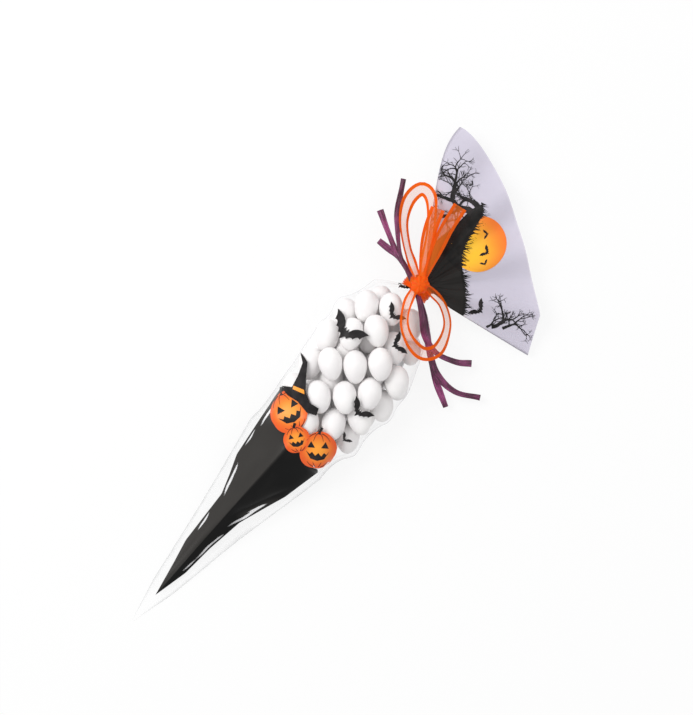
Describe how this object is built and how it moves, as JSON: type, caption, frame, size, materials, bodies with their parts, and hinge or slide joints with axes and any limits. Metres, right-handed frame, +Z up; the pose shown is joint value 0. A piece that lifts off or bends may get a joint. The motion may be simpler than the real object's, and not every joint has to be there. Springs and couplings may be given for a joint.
{
  "type": "filled cone bag",
  "caption": "Tied cone bag of clear printed film filled with egg-shaped sweets, gathered to a neck under a ribbon bow and raffia, its mouth spread to a fan.",
  "frame": {"origin": "middle of the flat underside, below the widest part of the filled bulge", "axes": "+X along the cone from its tip to the mouth, +Z up from the surface that the bag lies on"},
  "size_m": [0.3627, 0.1302, 0.0489],
  "materials": {
    "film": "clear glossy film with a dark printed cone",
    "sweet": "white sugar shell",
    "ribbon": "sheer orange ribbon",
    "raffia": "dark plum raffia, slight sheen"
  },
  "bodies": {
    "root": {"bag_film": "film", "ribbon_bow": "ribbon", "raffia_strand_1": "raffia", "raffia_strand_2": "raffia", "raffia_strand_3": "raffia", "sweet_01": "sweet", "sweet_02": "sweet", "sweet_03": "sweet", "sweet_04": "sweet", "sweet_05": "sweet", "sweet_06": "sweet", "sweet_07": "sweet", "sweet_08": "sweet", "sweet_09": "sweet", "sweet_10": "sweet", "sweet_11": "sweet", "sweet_12": "sweet", "sweet_13": "sweet", "sweet_14": "sweet", "sweet_15": "sweet", "sweet_16": "sweet", "sweet_17": "sweet", "sweet_18": "sweet", "sweet_19": "sweet", "sweet_20": "sweet", "sweet_21": "sweet", "sweet_22": "sweet", "sweet_23": "sweet", "sweet_24": "sweet", "sweet_25": "sweet", "sweet_26": "sweet", "sweet_27": "sweet", "sweet_28": "sweet", "sweet_29": "sweet", "sweet_30": "sweet", "sweet_31": "sweet", "sweet_32": "sweet", "sweet_33": "sweet", "sweet_34": "sweet", "sweet_35": "sweet", "sweet_36": "sweet", "sweet_37": "sweet", "sweet_38": "sweet", "sweet_39": "sweet", "sweet_40": "sweet", "sweet_41": "sweet", "sweet_42": "sweet", "sweet_43": "sweet", "sweet_44": "sweet", "sweet_45": "sweet", "sweet_46": "sweet", "sweet_47": "sweet", "sweet_48": "sweet"}
  },
  "joints": []
}
